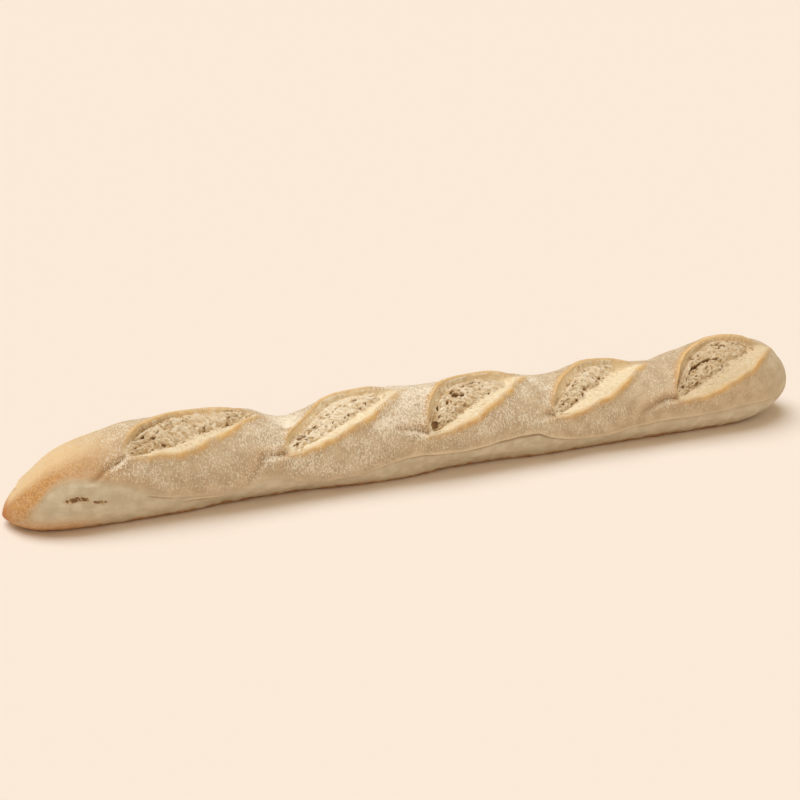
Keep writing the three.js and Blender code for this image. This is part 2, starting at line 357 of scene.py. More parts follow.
class Skin:
    """The crust at many places, and how each feature moves and marks it.

    rise is a way outward and shift a way in any direction, in millimetres. Each mask runs from 0
    to 1 and steers the finish.
    """

    def __init__(self, x, turn):
        self.x, self.turn = x, turn
        self.base = smooth_loaf(x, turn)
        self.outward, self.lengthwise, self.round_ = directions(x, turn)
        self.rise = crestward(turn) * read_back(x) + unevenness(x, turn)
        self.shift = np.zeros_like(self.base)
        self.masks = {name: np.zeros_like(x) for name in MASKS}
        self.flour = mix(FLOUR_NEAR_TIP, FLOUR_NEAR_END, smoothstep(x, 50, 150))
        self.tipward = 1 - smoothstep(x, -246, -182)

    def deepen(self, name, values):
        self.masks[name] = np.maximum(self.masks[name], values)

    def lumps(self, pitch, seed):
        return lumps(self.base, pitch, seed)

    def open_slash(self, slash):
        """Sinks the gap, raises the lips and leans them, and marks the lips and walls: a painted
        highlight along the lips' crests, and a lighter tone painted on the far side's wall against
        the shade it lies in.
        """
        along, across = in_slash(slash, self.x, self.turn)
        run, tilt, length = slash_axes(slash)
        fade = SLASH_FADE / length
        open_ = smoothstep(along, -fade, fade) * (1 - smoothstep(along, 1 - fade, 1 + fade))
        near, far = lips(slash, along)
        gap = np.maximum(far - near, 0.001)
        whole = smoothstep(gap, 2, WHOLE_GAP)
        inside = clamp01((across - near) / gap)
        crumb_near, crumb_far = crumb_edges(slash, along)
        floor = smoothstep(inside, 0.0, crumb_near + 0.2)
        floor *= 1 - smoothstep(inside, crumb_far - 0.12, 1.0)

        past_near, past_far = across - near, across - far
        near_lip = bell(past_near, np.where(past_near < 0, NEAR_LIP["away"], NEAR_LIP["into"]))
        far_lip = bell(past_far, np.where(past_far > 0, FAR_LIP["away"], FAR_LIP["into"]))
        raised = NEAR_LIP["height"] * near_lip + FAR_LIP["height"] * far_lip * whole
        self.rise += open_ * (raised - SLASH_DEPTH * floor * whole)
        leaning = NEAR_LIP["lean"] * bell(past_near, NEAR_LIP["leaning"])
        leaning += FAR_LIP["lean"] * bell(past_far, FAR_LIP["leaning"])
        overhang = open_ * whole * leaning
        self.shift += overhang[:, None] * (run * self.round_ - tilt * self.lengthwise)

        between = open_ * (across > near) * (across < far)
        patchy = clamp01(0.75 + 0.6 * self.lumps(7, 31) + 0.2 * self.lumps(3, 32))
        near_rim = bell(past_near + 1.1, 2.7) * mix(0.7, 1.1, smoothstep(along, 0.05, 0.45))
        far_rim = bell(past_far - 0.1, 2.1) * mix(1.0, 0.6, smoothstep(along, 0.3, 0.7)) * whole
        rim = clamp01(open_ * (near_rim * patchy + far_rim))
        clear_of_lips = smoothstep(past_near, 0.1, 2.4) * smoothstep(-past_far, 0.2, 1.8)
        self.deepen("rim", rim)
        # painted highlight along the crests of both lips
        self.deepen("painted_highlight", open_ * (bell(past_near, 1.0) + bell(past_far, 1.0) * whole) * patchy)
        self.deepen("baked", between * slash["baked"])
        self.deepen("wall", between * clear_of_lips)
        # painted light: the wall on the far side gets a lighter tone than the other skin, against
        # the shade it lies in
        self.deepen("far_wall_painted_light", between * smoothstep(inside, crumb_far - 0.2, crumb_far))
        self.deepen("gold", open_ * bell(past_near, 4.6) * 0.35 * patchy)
        self.deepen("gold", open_ * bell(past_far, 5.0) * mix(0.9, 0.55, along) * patchy)
        self.masks["way"] = np.where(between > 0, along, self.masks["way"])
        self.masks["cross"] = np.where(between > 0, inside, self.masks["cross"])
        self.flour = self.flour * (1 - 0.7 * rim) * (1 - 0.45 * between)

    def fold(self, points):
        """Laps the skin over itself along a fold line, the right of the line over its left, with
        painted shade along the fold.
        """
        distance, side, share = along_line(points, self.x, self.turn)
        strength = smoothstep(share, 0, 0.08) * mix(1.0, 0.3, share) * (distance < 14)
        left = bell(distance - 3.2, 3.6) * (side > 0)
        right = bell(distance - 4.0, 4.5) * (side < 0)
        self.rise += strength * (1.3 * left + 0.8 * right - 2.5 * bell(distance, 3.2))
        lapped = strength * bell(distance - 1.0, 1.6) * (side < 0)
        self.shift -= (0.9 * lapped)[:, None] * self.round_
        # painted shade along the fold line, reaching onto the lapping side
        self.deepen("crease_shade", 0.6 * strength * bell(distance - 0.5 * (side < 0), 2.6))
        # gold on the lapping side darkens it: partly baked colour, partly painted shade on the side
        # that faces away from the light
        self.deepen("gold", 0.5 * strength * right)
        self.flour = self.flour + 0.22 * strength * left * (0.6 + self.lumps(6, 33))

    def lay_seam(self):
        """Steps in below the seam, where the crust laps over the pale lower side, with a painted
        highlight along its edge and painted shade just below it.
        """
        near_half = self.turn < 90
        crisp = read_crispness(self.x)
        height = seam_height(self.x, self.turn) + 0.5 * self.lumps((9, 30, 30), 11)
        height += 0.3 * self.lumps((3.1, 9, 9), 12)
        below = self.below_seam = height - self.base[:, 2]
        strength = np.where(near_half, crisp, 0.5)
        strength = strength * clamp01(1 + 0.4 * self.lumps((19, 90, 90), 13))
        self.rise += strength * (1.2 * bell(below + 1.2, 1.9) - 1.1 * bell(below - 1.0, 1.3))
        self.rise -= (0.3 + 0.8 * strength) * smoothstep(below, -0.2, 0.9)
        down = np.where(near_half, -1.0, 1.0)
        self.shift += (0.5 * down * strength * bell(below + 0.6, 1.2))[:, None] * self.round_
        faint_blur = mix(3.0, 6.0, smoothstep(self.x, -200, -150))
        blur = mix(faint_blur, 0.6, smoothstep(crisp, 0.2, 0.85))
        self.masks["pale"] = smoothstep(below, -blur, blur)
        # painted shade just below the seam's edge
        self.deepen("crease_shade", strength * bell(below - 1.0, 1.2))
        # painted highlight along the seam's raised edge
        self.masks["painted_edge_highlight"] = clamp01(strength) * bell(below + 0.9, 1.3)

    def sink_tear(self, tear_x, tear_turn, tear_length, tear_height):
        u = self.x - tear_x
        v = girth(self.turn - tear_turn) + TEAR_TILT * u
        away = (2 * u / tear_length) ** 2 + (2 * v / tear_height) ** 2
        self.rise -= TEAR_DEPTH * np.exp(-1.5 * away)

    def lift_flake(self, points):
        distance, side, share = along_line(points, self.x, self.turn)
        lifted = smoothstep(share, 0, 0.25) * (1 - smoothstep(share, 0.75, 1)) * (distance < 6)
        edge = 0.7 * bell(distance - 0.9, 1.3) * (side > 0)
        self.rise += lifted * (edge - 0.5 * bell(distance, 1.1))
        # painted shade along the flake, and a painted highlight on its raised edge
        self.deepen("crease_shade", 0.8 * lifted * bell(distance + 0.3 * side, 1.0))
        self.deepen("painted_edge_highlight", lifted * bell(distance - 1.1, 1.2) * (side > 0))

    def roughen(self):
        """Adds the thin layers of the pale side and the lumps of the dough."""
        self.rise += 0.2 * self.masks["pale"] * self.lumps((23, 40, 1.5), 14)
        for height, pitch, seed in DOUGH_LUMPS:
            self.rise += height * self.lumps(pitch, seed)

    def settle(self):
        """The places with all relief, on a foot that draws in and has a ragged edge."""
        base, height = self.base, self.base[:, 2]
        held = hold(self.x, base)
        places = base + (held * self.rise)[:, None] * self.outward + held[:, None] * self.shift
        on_middle = smoothstep(LENGTH / 2 - np.abs(self.x), 20, 50)
        ragged = bell(height - 1.0, 1.6) * (height > 0.02) * on_middle
        flakes = 0.4 + 0.6 * self.lumps((7, 40, 40), 41) + 0.6 * self.lumps((2.6, 40, 40), 42)
        places[:, 1] += np.sign(base[:, 1]) * ragged * flakes
        near_foot = smoothstep(-base[:, 1], 0, 16) * (1 - smoothstep(height, 1, 16))
        places[:, 1] += near_foot * read_foot(self.x)
        places[:, 2] = np.maximum(places[:, 2], 0)
        return places

    def tone_ends(self, places):
        """Marks the tip's gold, with a painted highlight on its top, its baked nub, the pale end
        and the sole, whose brown climbs the foot's edge as baked colour and painted contact shade.
        """
        x, turn, height = self.x, self.turn, self.base[:, 2]
        round_tip = 1 - smoothstep(x + 0.35 * height, -262, -238)
        under_tip = (1 - smoothstep(height, 5, 18)) * (1 - smoothstep(x, -238, -198))
        self.masks["pale"] *= 1 - np.maximum(0.85 * round_tip, 0.95 * under_tip)
        # the tip's gold fades towards its top, where a painted highlight lies
        gold_faded_by_painted_highlight = self.tipward * (1 - self.masks["pale"]) * mix(1, 0.5, smoothstep(turn, 55, 105))
        self.deepen("gold", gold_faded_by_painted_highlight)
        self.deepen("gold", smoothstep(x, 266, 276) * 0.3)
        # painted highlight on the tip's top
        self.deepen("painted_highlight", 0.9 * self.tipward * smoothstep(turn, 50, 78))
        self.masks["nub"] = bell(np.maximum(x + 273, 0), 4.0)
        # the sole's brown climbs up to 4 mm on the foot's ragged edge: partly baked colour, partly
        # painted contact shade where the loaf meets the floor
        uneven_height = places[:, 2] + 1.5 * self.lumps((4, 30, 30), 43)
        self.masks["sole"] = 1 - smoothstep(uneven_height, 1.0, 4.0)
        self.deepen("pale", 0.8 * smoothstep(x, 225, 262))

    def strew_flour(self):
        """Settles how much flour lies where: most on the waists, where it also stands in for a
        painted highlight on their tops, least below the seam.
        """
        x, turn = self.x, self.turn
        flour = self.flour * mix(0.35, 1, smoothstep(-self.below_seam, 0.5, 10))
        for middle, reach, cover in WAIST_FLOUR_AND_HIGHLIGHT:
            strewn = bell(x - middle + 9 * self.lumps(15, 46), reach)
            strewn *= 1 - smoothstep(turn, 100, 130)
            flour = flour + cover * strewn * smoothstep(turn, 20, 80) * (1 - self.masks["wall"])
        flour = mix(flour, 0.05 + 0.14 * smoothstep(turn, 55, 110), self.tipward)
        flour *= 1 - 0.8 * self.masks["pale"]
        flour *= 0.9 + 0.4 * self.lumps(14, 44) + 0.25 * self.lumps(6, 45)
        self.masks["flour"] = flour


def shape_crust(x, turn):
    """The crust's places, and the masks from 0 to 1 that its finish follows."""
    skin = Skin(x, turn)
    for slash in SLASHES:
        skin.open_slash(slash)
    for points in FOLDS:
        skin.fold(points)
    skin.lay_seam()
    for tear in TEARS:
        skin.sink_tear(*tear)
    for points in FLAKES:
        skin.lift_flake(points)
    skin.roughen()
    places = skin.settle()
    skin.tone_ends(places)
    skin.strew_flour()
    return places, skin.masks


def crumb_height(slash, along, inside, gap):
    """How far the crumb's own surface stands off the smooth loaf, between its two edges."""
    crumb_near, crumb_far = crumb_edges(slash, along)
    share = (inside - crumb_near) / (crumb_far - crumb_near)
    return at_share(slash["heights"], share) * smoothstep(gap, 2, WHOLE_GAP)


# ---------------- mesh helpers


def only(piece):
    """Leaves this piece alone selected and active, as an operator needs it."""
    bpy.ops.object.select_all(action="DESELECT")
    piece.select_set(True)
    bpy.context.view_layer.objects.active = piece


def take_new(name):
    piece = bpy.context.active_object
    piece.name = name
    piece.data.name = name
    return piece


def vertex_places(piece):
    places = np.zeros(len(piece.data.vertices) * 3)
    piece.data.vertices.foreach_get("co", places)
    return places.reshape(-1, 3)


def move_vertices(piece, places):
    piece.data.vertices.foreach_set("co", np.ascontiguousarray(places * MM, float).ravel())
    piece.data.update()


def paint_masks(piece, masks):
    for name, values in masks.items():
        layer = piece.data.attributes.new(name, "FLOAT", "POINT")
        layer.data.foreach_set("value", np.ascontiguousarray(clamp01(values), np.float32))


def apply_modifier(piece, kind, **settings):
    only(piece)
    modifier = piece.modifiers.new(kind.title(), kind)
    for key, value in settings.items():
        setattr(modifier, key, value)
    bpy.ops.object.modifier_apply(modifier=modifier.name)


# ---------------- the crust

CRUST_RINGS = 524
CRUST_ROUND = 188
DENSE_TURN = 42  # where the points round the loaf lie closest
DENSE_SHARE = 0.45


def model_crust():
    bpy.ops.object.select_all(action="DESELECT")
    bpy.ops.mesh.primitive_uv_sphere_add(segments=CRUST_ROUND, ring_count=CRUST_RINGS, radius=1)
    crust = take_new("crust")
    ball = vertex_places(crust)

    share = 1 - np.arccos(np.clip(ball[:, 2], -1, 1)) / np.pi
    xs = -LENGTH / 2 * np.cos(np.pi * np.linspace(0, 1, 4001))
    crest = outlines(xs)[3]
    travelled = np.concatenate([[0], np.cumsum(np.hypot(np.diff(xs), np.diff(crest)))])
    x = np.interp(share * travelled[-1], travelled, xs)

    lap = 0.5 - np.arctan2(ball[:, 1], ball[:, 0]) / (2 * np.pi)
    lap = np.where(lap > 0.75, lap - 1, lap)
    swing = DENSE_SHARE * 180 / np.pi * np.sin(2 * np.pi * (lap - DENSE_TURN / 360))
    turn = np.where(np.abs(ball[:, 2]) > 0.9999999, 90, 360 * lap - swing)

    places, masks = shape_crust(x, turn)
    move_vertices(crust, places)
    paint_masks(crust, masks)
    only(crust)
    bpy.ops.object.shade_smooth()
    return crust


# ---------------- the crumb

CRUMB_ALONG, CRUMB_ACROSS = 236, 100  # the cells of a slash's crumb
BURST_ALONG, BURST_ACROSS = 96, 40
CRUMB_THICKNESS = 1.2
BURIED = 1.6  # how far the crumb's outer edge lies under the skin
FIBRE_SLANT = 0.4  # the crumb's fibres run across the slash, leaning towards its low end

# the larger holes of each slash's crumb: share along, share across, length, width, depth, slant
HOLES = [
    [
        (0.13, 0.95, 2.6, 1.5, 1.6, 0.1), (0.142, 0.85, 2.8, 1.6, 1.8, 0.2),
        (0.18, 0.685, 3.6, 1.7, 1.9, 0.1), (0.24, 0.545, 4.6, 1.7, 2, 0),
        (0.39, 0.83, 3.6, 2.2, 1.4, 0), (0.488, 0.87, 1.8, 1.6, 1.4, 0),
        (0.475, 0.26, 1.8, 1.4, 1.6, 0), (0.531, 0.53, 2.4, 1.5, 1.5, 0.2),
        (0.592, 0.45, 3, 1.6, 1.6, 0.1), (0.58, 0.36, 2.4, 1.2, 1.4, 0.1),
        (0.63, 0.36, 1.8, 1.4, 1.6, 0), (0.708, 0.39, 2, 1.2, 1.4, 0.1),
        (0.747, 0.42, 3.2, 1.2, 1.4, 0.1), (0.748, 0.77, 1.8, 1.2, 1.2, 0),
        (0.794, 0.8, 2.8, 1.2, 1.3, 0), (0.285, 0.32, 2.4, 1.4, 1.4, 0.2),
        (0.43, 0.56, 2, 1.2, 1.2, 0),
    ],
    [
        (0.321, 0.55, 3.8, 3.2, 2.2, 0.3), (0.326, 0.46, 4.2, 1.6, 1.2, 0.2),
        (0.273, 0.49, 4.2, 2.2, 1.3, 0.2), (0.213, 0.48, 4.2, 2.6, 1.3, 0.2),
        (0.167, 0.49, 4.4, 3, 1.5, 0.1), (0.107, 0.37, 3.4, 2.8, 1.4, 0.1),
        (0.197, 0.37, 1.6, 1.2, 1.4, 0), (0.024, 0.12, 2.2, 1.2, 1.4, 0),
        (0.707, 0.7, 5.5, 2.4, 2.4, 0.1), (0.728, 0.47, 2.6, 1.4, 1.8, 0.2),
        (0.815, 0.52, 3.4, 1, 1.2, 0.1), (0.541, 0.64, 2, 1.4, 1.6, 0),
        (0.511, 0.6, 2.8, 1.2, 1.4, 0.1), (0.598, 0.61, 1.6, 1.2, 1.5, 0.6),
        (0.581, 0.67, 1.6, 1.4, 1.5, 0), (0.438, 0.35, 2.6, 1.2, 1.4, 0.4),
        (0.462, 0.61, 1.8, 2.2, 1.2, 0.3), (0.323, 0.24, 2, 1, 1.2, 0.1),
    ],
    [
        (0.094, 0.44, 7.5, 5.6, 2.6, 0.5), (0.19, 0.7, 3.4, 2.2, 2.4, 0.3),
        (0.298, 0.62, 3.4, 2, 2.4, 0.3), (0.327, 0.58, 2, 1.4, 1.8, 0),
        (0.405, 0.66, 6, 4.2, 3.4, 0.1), (0.44, 0.58, 3.6, 2.4, 3.6, 0.1),
        (0.415, 0.76, 5.4, 2.6, 2.2, 0), (0.488, 0.54, 1.8, 1.4, 1.6, 0),
        (0.535, 0.77, 4.6, 3, 3.2, 0.2), (0.575, 0.66, 4.4, 1.8, 2.4, -0.5),
        (0.649, 0.83, 4.6, 2.4, 2.6, 0), (0.738, 0.765, 4.6, 2.2, 3, 0),
        (0.513, 0.39, 1.8, 1.6, 1.4, 0.6), (0.392, 0.38, 3, 1.6, 1.2, 0.4),
        (0.811, 0.69, 3, 2, 0.9, 0), (0.249, 0.46, 2, 2.4, 1, 0), (0.202, 0.24, 2.4, 1.4, 1.2, 0),
        (0.166, 0.3, 1.8, 1.4, 1.2, 0), (0.47, 0.72, 4, 2.4, 1.8, 0),
        (0.605, 0.79, 4.4, 2.4, 2.2, 0.1), (0.69, 0.81, 3.6, 2, 2, 0),
    ],
    [
        (0.252, 0.3, 3.4, 2.2, 3, 0.1), (0.202, 0.28, 2.8, 1.8, 2.2, 0.2),
        (0.157, 0.2, 2.6, 1.6, 1.8, 0.2), (0.506, 0.83, 2, 1.8, 1.8, 0),
        (0.438, 0.78, 1.8, 1.6, 1.6, 0), (0.551, 0.79, 1.6, 2, 1.6, 0.5),
        (0.592, 0.71, 2.6, 1.4, 1.6, -0.4), (0.533, 0.47, 1.8, 2, 1.8, 0),
        (0.491, 0.44, 3, 1.2, 1.6, 0.1), (0.408, 0.45, 1.8, 1.4, 1.4, 0),
        (0.324, 0.34, 2.4, 1.6, 1.6, -0.4), (0.334, 0.67, 2.6, 1.8, 1.4, 0),
        (0.141, 0.47, 3, 1.8, 1.4, 0), (0.048, 0.44, 2.4, 1.4, 1.6, 0.3),
        (0.13, 0.21, 1.6, 1.2, 1.4, 0), (0.44, 0.34, 2.2, 1.2, 1.4, 0),
        (0.224, 0.62, 2, 1.4, 1.4, 0), (0.632, 0.9, 2, 1.2, 1.4, 0.2),
        (0.634, 0.68, 2.6, 1.2, 1.6, -0.4),
    ],
    [
        (0.29, 0.69, 5, 2.4, 3.2, 0.1), (0.325, 0.66, 5, 2.8, 3.6, 0.2),
        (0.37, 0.64, 5, 2, 3.2, 0.1), (0.42, 0.63, 5, 2.6, 3, 0.1), (0.46, 0.6, 5, 2.6, 3.2, -0.1),
        (0.51, 0.55, 5, 2.2, 2.6, -0.2), (0.614, 0.71, 2.6, 2, 2.6, 0),
        (0.655, 0.76, 4.6, 2, 2.6, -0.1), (0.656, 0.86, 4, 1.8, 1.8, 0.1),
        (0.759, 0.94, 4.4, 1.6, 1.6, 0), (0.425, 0.8, 1.8, 1.8, 1.8, 0),
        (0.122, 0.51, 2.2, 1.6, 1.8, 0), (0.279, 0.5, 2.6, 1.4, 1.2, 0),
        (0.246, 0.66, 2, 1.4, 1.8, 0), (0.175, 0.57, 1.8, 1.6, 1.4, 0),
        (0.272, 0.27, 2.8, 1.2, 1.2, 0), (0.379, 0.3, 2, 1.4, 1, 0),
        (0.103, 0.19, 3.4, 1.2, 1.6, 0.3),
    ],
]


def carve(depth, du, dv, length, width, slant, deep, ragged=0.0):
    """Deepens the crumb by an oval hole, steep at its rim and round at its bottom, and gives a
    share, 1 at its middle and fading outward, that the slash crumb uses for painted shade round its
    holes.
    """
    along = du * np.cos(slant) + dv * np.sin(slant)
    across = dv * np.cos(slant) - du * np.sin(slant)
    left = 1 - (2 * along / length) ** 2 - (2 * across / width) ** 2
    np.maximum(depth, deep * np.maximum(left + ragged * (left > -1), 0) ** 0.45, out=depth)
    return np.exp(0.7 * np.minimum(left - 1, 0))


def small_bubbles(u, v, pitch, fill, seed):
    """Open bubbles, one in each filled cell of a jittered grid, as deep as they are wide."""
    depth = np.zeros_like(u)
    home_u, home_v = np.floor(u / pitch), np.floor(v / pitch)
    for step_u in (-1, 0, 1):
        for step_v in (-1, 0, 1):
            cells = np.stack([home_u + step_u, home_v + step_v], 1).astype(np.int64)
            rolls = [chance(cells, seed + number) for number in range(6)]
            middle_u = (cells[:, 0] + rolls[0]) * pitch
            middle_v = (cells[:, 1] + rolls[1]) * pitch
            size = pitch * (0.35 + 0.75 * rolls[2] ** 2) * (rolls[3] < fill)
            size = np.maximum(size, 1e-3)
            narrow = size * (0.45 + 0.5 * rolls[4])
            slant = 1.2 * rolls[5] + 0.2
            carve(depth, u - middle_u, v - middle_v, size, narrow, slant, 0.8 * narrow)
    return depth


def tear_up(u, v, number):
    """The torn crumb's relief over a patch, up as positive, and how deep its holes go."""
    flat = np.stack([u, v, np.full_like(u, 40.0 * number)], 1)
    bent_u = u + 0.9 * lumps(flat, 5, 71) + 0.35 * lumps(flat, 2, 72)
    bent_v = v + 0.9 * lumps(flat, 4, 73) + 0.4 * lumps(flat, 1.8, 74)
    bent = np.stack([bent_u, bent_v, flat[:, 2]], 1)
    drawn = np.stack([bent_u + FIBRE_SLANT * bent_v, bent_v, flat[:, 2]], 1)
    ledges = 0.45 * lumps(bent, (6.5, 3.4, 9), 61)
    coarse, fine = lumps(drawn, (1.8, 5.6, 9), 62), lumps(drawn, (1.2, 3.2, 9), 65)
    fibres = 1.2 * (0.4 - 0.8 * np.abs(coarse) - 0.8 * np.abs(fine))
    fibres += 0.4 * lumps(drawn, (0.9, 1.5, 9), 63)
    depth = small_bubbles(bent_u, bent_v, 3.2, 0.22, 100 + number)
    depth = np.maximum(depth, small_bubbles(bent_u, bent_v, 2.0, 0.42, 200 + number))
    depth = np.maximum(depth, small_bubbles(bent_u, bent_v, 1.3, 0.5, 300 + number))
    return ledges + fibres, 0.85 * depth, bent_u, bent_v


def model_patch(name, cells_along, cells_across, shape):
    """A torn patch of crumb: a grid laid by its shape function, given a thickness."""
    bpy.ops.object.select_all(action="DESELECT")
    bpy.ops.mesh.primitive_grid_add(x_subdivisions=cells_along, y_subdivisions=cells_across, size=1)
    patch = take_new(name)
    flat = vertex_places(patch)
    places, masks = shape(flat[:, 0] + 0.5, flat[:, 1] + 0.5)
    move_vertices(patch, places)
    paint_masks(patch, masks)
    apply_modifier(patch, "SOLIDIFY", thickness=CRUMB_THICKNESS * MM, offset=-1.0)
    only(patch)
    bpy.ops.object.shade_smooth()
    return patch


def shape_slash_crumb(number):
    slash = SLASHES[number]
    run, tilt, length = slash_axes(slash)
    width = slash["near"] + slash["far"]

    def shape(share_along, share_across):
        along = mix(0.01, min(slash["crumb_end"] + 0.05, 0.99), share_along)
        crumb_near, crumb_far = crumb_edges(slash, along)
        lowest, highest = np.maximum(crumb_near - 0.14, 0.005), np.minimum(crumb_far + 0.1, 0.993)
        inside = mix(lowest, highest, share_across)
        near, far = lips(slash, along)
        gap = far - near
        across = near + inside * gap
        x, turn = out_of_slash(slash, along, across)
        skin = shape_crust(x, turn)[0]
        base, (outward, lengthwise, round_) = smooth_loaf(x, turn), directions(x, turn)
        nearward = tilt * lengthwise - run * round_
        body = hold(x, base) * (crestward(turn) * read_back(x) + unevenness(x, turn))

        u, v = along * length, inside * width
        torn, depth, bent_u, bent_v = tear_up(u, v, number)
        strands = np.stack([u + FIBRE_SLANT * v, v, np.full_like(u, 5.0 * number)], 1)
        ragged = 0.55 * lumps(strands, (0.9, 2.6, 9), 68) - 0.1
        ragged += 0.3 * lumps(strands, (0.6, 0.9, 9), 69)
        # a ring of painted shade round each larger hole
        shade_near_holes = np.zeros_like(u)
        for hole_along, hole_across, hole_length, hole_width, deep, slant in HOLES[number]:
            du, dv = bent_u - hole_along * length, (bent_v - hole_across * width) * gap / width
            hole_shade_ring = carve(depth, du, dv, hole_length, hole_width, slant, deep, ragged)
            shade_near_holes = np.maximum(shade_near_holes, hole_shade_ring * min(deep / 2.4, 1))

        edge = np.stack([u, v, np.full_like(u, 17.0 * number)], 1)
        fray = 0.05 * lumps(edge, (5, 7, 9), 64) + 0.09 * lumps(edge, (1.7, 8, 9), 66)
        showing = smoothstep(inside + fray, crumb_near - 0.08, crumb_near - 0.02)
        showing *= 1 - smoothstep(inside + 0.5 * fray, crumb_far, crumb_far + 0.06)
        showing *= 1 - smoothstep(inside, 0.965, 0.992)
        showing *= smoothstep(along, 0.015, 0.07)
        showing *= 1 - smoothstep(along + 2 * fray, slash["crumb_end"] - 0.09, slash["crumb_end"])
        clear = smoothstep(inside + fray, crumb_near, crumb_near + 0.2)
        by_far = smoothstep(inside, crumb_far - 0.14, crumb_far - 0.02)
        clear *= 1 - by_far
        facing = unit(mix(outward, nearward, 0.8 * by_far[:, None]))
        own = base + (body + crumb_height(slash, along, inside, gap))[:, None] * outward
        strength = mix(mix(0.7, 1.0, clear), 0.6, by_far)
        strength *= mix(0.4, 1.0, smoothstep(gap, 6, WHOLE_GAP))
        strength *= 1 - 0.7 * smoothstep(inside, 0.93, 0.985)
        strength *= mix(0.35, 1.0, smoothstep(along, 0.02, 0.14))
        strength *= mix(1.0, 0.35, smoothstep(along, 0.86, 0.95))
        relief = strength * (torn - depth) + mix(0.25, 0.6, by_far) * (1 - clear)
        laid = mix(skin, own, clear[:, None]) + relief[:, None] * facing
        places = mix(skin - BURIED * outward, laid, showing[:, None])
        masks = {
            # painted shade in the holes and in the low places of the torn crumb, and round the
            # larger holes
            "pit_shade": showing * (1 - 0.7 * by_far) * depth / 1.5,
            "hollow_shade": showing * (0.4 - 0.6 * torn + 0.6 * shade_near_holes),
            "skin": 1 - smoothstep(inside + fray, crumb_near - 0.05, crumb_near + 0.08),
            "baked": np.full_like(along, slash["baked"]),
            "way": along,
            "cross": inside,
        }
        return places, masks

    return shape


def shape_tear(number):
    """A burst in the side: torn crumb with a ragged outline, sunk a little into the skin."""
    tear_x, tear_turn, tear_length, tear_height = TEARS[number]

    def shape(share_along, share_across):
        u = (share_along - 0.5) * (tear_length + 3)
        v = (share_across - 0.5) * (tear_height + 2.4)
        x = tear_x + u
        turn = tear_turn + np.degrees((v - TEAR_TILT * u) / GIRTH_RADIUS)
        skin, outward = shape_crust(x, turn)[0], directions(x, turn)[0]
        torn, depth, bent_u, bent_v = tear_up(u, v, 7 + number)
        away = np.sqrt((2 * bent_u / tear_length) ** 2 + (2 * bent_v / tear_height) ** 2)
        inner = 1 - smoothstep(away, 0.6, 1.0)
        strands = 0.5 + 0.5 * lumps(np.stack([u + 0.4 * v, v, v * 0], 1), (0.7, 2.2, 9), 67)
        split = bell(v - 0.1 * tear_height, 0.8 * tear_height) * inner
        strands = smoothstep(strands, 0.25, 0.75)
        height = 0.15 + inner * (1.0 + 0.45 * torn - 0.5 * depth) - 1.2 * split * (0.2 + strands)
        height = np.maximum(height, 0.15)
        outer = 1 - smoothstep(away, 0.85, 1.15)
        places = skin + mix(-0.8, height, outer)[:, None] * outward
        masks = {
            # painted shade in the tear's split, darker on its strands, and across its middle
            "pit_shade": split * (0.5 + 1.1 * strands),
            "hollow_shade": 0.3 + 0.5 * inner,
            "baked": 0.6 - 0.6 * inner,
            "way": share_along,
            "cross": share_across,
        }
        return places, masks

    return shape


# ---------------- finishes


def srgb(red, green, blue):
    def linear(value):
        value /= 255
        return value / 12.92 if value <= 0.04045 else ((value + 0.055) / 1.055) ** 2.4

    return (linear(red), linear(green), linear(blue), 1.0)


